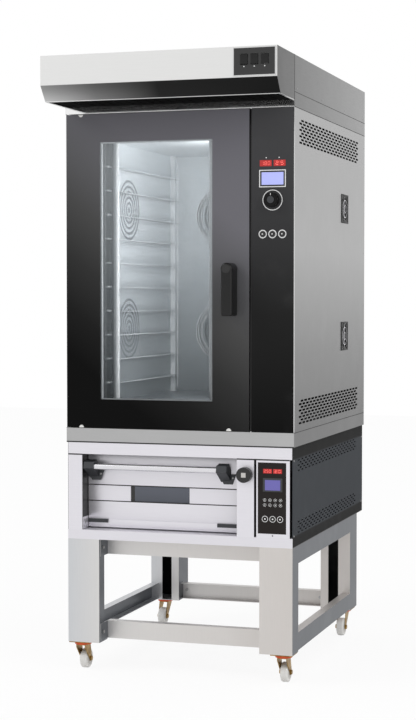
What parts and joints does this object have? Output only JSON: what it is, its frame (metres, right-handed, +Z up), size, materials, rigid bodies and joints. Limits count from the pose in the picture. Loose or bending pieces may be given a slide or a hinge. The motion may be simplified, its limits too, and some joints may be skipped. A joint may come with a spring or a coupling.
{
  "type": "bakery convection oven on a deck oven",
  "caption": "Tall bakery convection oven with a glazed side-hung door, under an extraction hood and over a drop-door deck oven, on a folded-steel stand with swivel casters.",
  "frame": {"origin": "on the floor, under the middle of the whole stack's width and depth", "axes": "+X to the right seen from the front, +Y to the rear, +Z up"},
  "size_m": [0.92, 1.46, 2.371],
  "materials": {
    "hood_steel": "satin brushed stainless",
    "case_steel": "brushed stainless",
    "base_steel": "brushed stainless",
    "deck_steel": "satin stainless",
    "deck_paint": "slate satin paint",
    "stand_steel": "brushed stainless",
    "bolt_steel": "zinc plated",
    "yellow_zinc": "yellow passivated zinc",
    "red_plastic": "moulded",
    "white_nylon": "moulded nylon",
    "cavity_steel": "bright stainless",
    "baking_stone": "fired refractory slab",
    "heater_metal": "oxidised sheath",
    "clear_glass": "tempered",
    "black_glass": "tempered, black printed border",
    "dark_glass": "tinted heat-proof",
    "door_black": "black enamel",
    "panel_black": "satin black",
    "knob_black": "moulded",
    "display_red": "tinted lens",
    "gasket_rubber": "silicone",
    "motor_grey": "cast, painted",
    "tube_steel": "polished stainless",
    "fitting_grey": "moulded"
  },
  "bodies": {
    "stack": {"stand_legs": "stand_steel", "stand_rails": "stand_steel", "stand_bolts": "bolt_steel", "caster_plates": "yellow_zinc", "caster_dust_rings": "red_plastic", "deck_base_pan": "deck_steel", "deck_side_panels": "deck_paint", "deck_top_cover": "deck_paint", "deck_front_frame": "deck_steel", "deck_chamber": "cavity_steel", "deck_stone": "baking_stone", "cable_gland": "fitting_grey", "oven_base": "base_steel", "oven_side_panels": "case_steel", "oven_rear_cover": "case_steel", "oven_front_frame": "case_steel", "oven_cavity": "cavity_steel", "door_gasket": "gasket_rubber", "tray_racks": "cavity_steel", "fan_baffle": "cavity_steel", "cooling_fan_frames": "fitting_grey", "hinge_pins": "bolt_steel", "heating_elements": "heater_metal", "fan_motors": "motor_grey", "control_panels": "panel_black", "display_windows": "display_red", "hood_body": "hood_steel", "hood_canopy": "hood_steel", "hood_fascia": "hood_steel", "hood_filter": "case_steel", "switch_plate": "panel_black"},
    "oven_door": {"oven_door_frame": "door_black", "door_outer_glass": "black_glass", "door_inner_glass": "clear_glass"},
    "door_handle": {"door_handle": "knob_black"},
    "control_knob": {"control_knob": "knob_black"},
    "button_left": {"button_left": "knob_black"},
    "button_middle": {"button_middle": "knob_black"},
    "button_right": {"button_right": "knob_black"},
    "fan_wheel_upper": {"fan_wheel_upper": "cavity_steel"},
    "fan_wheel_lower": {"fan_wheel_lower": "cavity_steel"},
    "cooling_rotor_upper": {"cooling_rotor_upper": "fitting_grey"},
    "cooling_rotor_lower": {"cooling_rotor_lower": "fitting_grey"},
    "blower_wheel": {"blower_wheel": "cavity_steel"},
    "deck_door": {"deck_door": "deck_steel", "deck_door_glass": "dark_glass", "deck_handle_tube": "tube_steel", "deck_door_fittings": "fitting_grey"},
    "damper_knob": {"deck_damper_knob": "knob_black"},
    "rocker_left": {"rocker_left": "knob_black"},
    "rocker_middle": {"rocker_middle": "knob_black"},
    "rocker_right": {"rocker_right": "knob_black"},
    "caster_fork_front_left": {"caster_fork_front_left": "yellow_zinc"},
    "caster_wheel_front_left": {"caster_wheel_front_left": "white_nylon"},
    "caster_fork_front_right": {"caster_fork_front_right": "yellow_zinc"},
    "caster_wheel_front_right": {"caster_wheel_front_right": "white_nylon"},
    "caster_fork_rear_left": {"caster_fork_rear_left": "yellow_zinc"},
    "caster_wheel_rear_left": {"caster_wheel_rear_left": "white_nylon"},
    "caster_fork_rear_right": {"caster_fork_rear_right": "yellow_zinc"},
    "caster_wheel_rear_right": {"caster_wheel_rear_right": "white_nylon"}
  },
  "joints": [
    {"name": "oven_door_swing", "type": "hinge", "parent": "stack", "child": "oven_door", "pos_m": [-0.443, -0.454, 0.958], "axis": [0, 0, -1], "range_deg": [0, 115]},
    {"name": "door_handle_turn", "type": "hinge", "parent": "oven_door", "child": "door_handle", "pos_m": [0.222, -0.478, 1.574], "axis": [0, 1, 0], "range_deg": [0, 90]},
    {"name": "control_knob_spin", "type": "hinge", "parent": "stack", "child": "control_knob", "pos_m": [0.375, -0.478, 1.832], "axis": [0, 1, 0], "continuous": true},
    {"name": "button_left_press", "type": "slide", "parent": "stack", "child": "button_left", "axis": [0, 1, 0], "range_m": [0, 0.0015], "stiffness_N_per_m": 400},
    {"name": "button_middle_press", "type": "slide", "parent": "stack", "child": "button_middle", "axis": [0, 1, 0], "range_m": [0, 0.0015], "stiffness_N_per_m": 400},
    {"name": "button_right_press", "type": "slide", "parent": "stack", "child": "button_right", "axis": [0, 1, 0], "range_m": [0, 0.0015], "stiffness_N_per_m": 400},
    {"name": "fan_upper_spin", "type": "hinge", "parent": "stack", "child": "fan_wheel_upper", "pos_m": [-0.09025, 0.48, 1.82], "axis": [0, 1, 0], "continuous": true},
    {"name": "fan_lower_spin", "type": "hinge", "parent": "stack", "child": "fan_wheel_lower", "pos_m": [-0.09025, 0.48, 1.32], "axis": [0, 1, 0], "continuous": true},
    {"name": "cooling_upper_spin", "type": "hinge", "parent": "stack", "child": "cooling_rotor_upper", "pos_m": [0.44, 0.345, 1.841], "axis": [1, 0, 0], "continuous": true},
    {"name": "cooling_lower_spin", "type": "hinge", "parent": "stack", "child": "cooling_rotor_lower", "pos_m": [0.44, 0.345, 1.308], "axis": [1, 0, 0], "continuous": true},
    {"name": "blower_spin", "type": "hinge", "parent": "stack", "child": "blower_wheel", "pos_m": [0, 0.126, 2.29], "axis": [0, 0, 1], "continuous": true},
    {"name": "deck_door_drop", "type": "hinge", "parent": "stack", "child": "deck_door", "pos_m": [0, -0.412, 0.575], "axis": [1, 0, 0], "range_deg": [0, 90]},
    {"name": "damper_turn", "type": "hinge", "parent": "stack", "child": "damper_knob", "pos_m": [0.27, -0.478, 0.797], "axis": [0, 1, 0], "range_deg": [0, 90]},
    {"name": "rocker_left_tilt", "type": "hinge", "parent": "stack", "child": "rocker_left", "pos_m": [0.3365, -0.724, 2.324], "axis": [1, 0, 0], "range_deg": [-8, 8]},
    {"name": "rocker_middle_tilt", "type": "hinge", "parent": "stack", "child": "rocker_middle", "pos_m": [0.3755, -0.724, 2.324], "axis": [1, 0, 0], "range_deg": [-8, 8]},
    {"name": "rocker_right_tilt", "type": "hinge", "parent": "stack", "child": "rocker_right", "pos_m": [0.4145, -0.724, 2.324], "axis": [1, 0, 0], "range_deg": [-8, 8]},
    {"name": "swivel_front_left", "type": "hinge", "parent": "stack", "child": "caster_fork_front_left", "pos_m": [-0.41, -0.434, 0.1], "axis": [0, 0, 1], "continuous": true},
    {"name": "roll_front_left", "type": "hinge", "parent": "caster_fork_front_left", "child": "caster_wheel_front_left", "pos_m": [-0.41, -0.402, 0.038], "axis": [1, 0, 0], "continuous": true},
    {"name": "swivel_front_right", "type": "hinge", "parent": "stack", "child": "caster_fork_front_right", "pos_m": [0.41, -0.434, 0.1], "axis": [0, 0, 1], "continuous": true},
    {"name": "roll_front_right", "type": "hinge", "parent": "caster_fork_front_right", "child": "caster_wheel_front_right", "pos_m": [0.41, -0.402, 0.038], "axis": [1, 0, 0], "continuous": true},
    {"name": "swivel_rear_left", "type": "hinge", "parent": "stack", "child": "caster_fork_rear_left", "pos_m": [-0.41, 0.553, 0.1], "axis": [0, 0, 1], "continuous": true},
    {"name": "roll_rear_left", "type": "hinge", "parent": "caster_fork_rear_left", "child": "caster_wheel_rear_left", "pos_m": [-0.41, 0.521, 0.038], "axis": [1, 0, 0], "continuous": true},
    {"name": "swivel_rear_right", "type": "hinge", "parent": "stack", "child": "caster_fork_rear_right", "pos_m": [0.41, 0.553, 0.1], "axis": [0, 0, 1], "continuous": true},
    {"name": "roll_rear_right", "type": "hinge", "parent": "caster_fork_rear_right", "child": "caster_wheel_rear_right", "pos_m": [0.41, 0.521, 0.038], "axis": [1, 0, 0], "continuous": true}
  ]
}
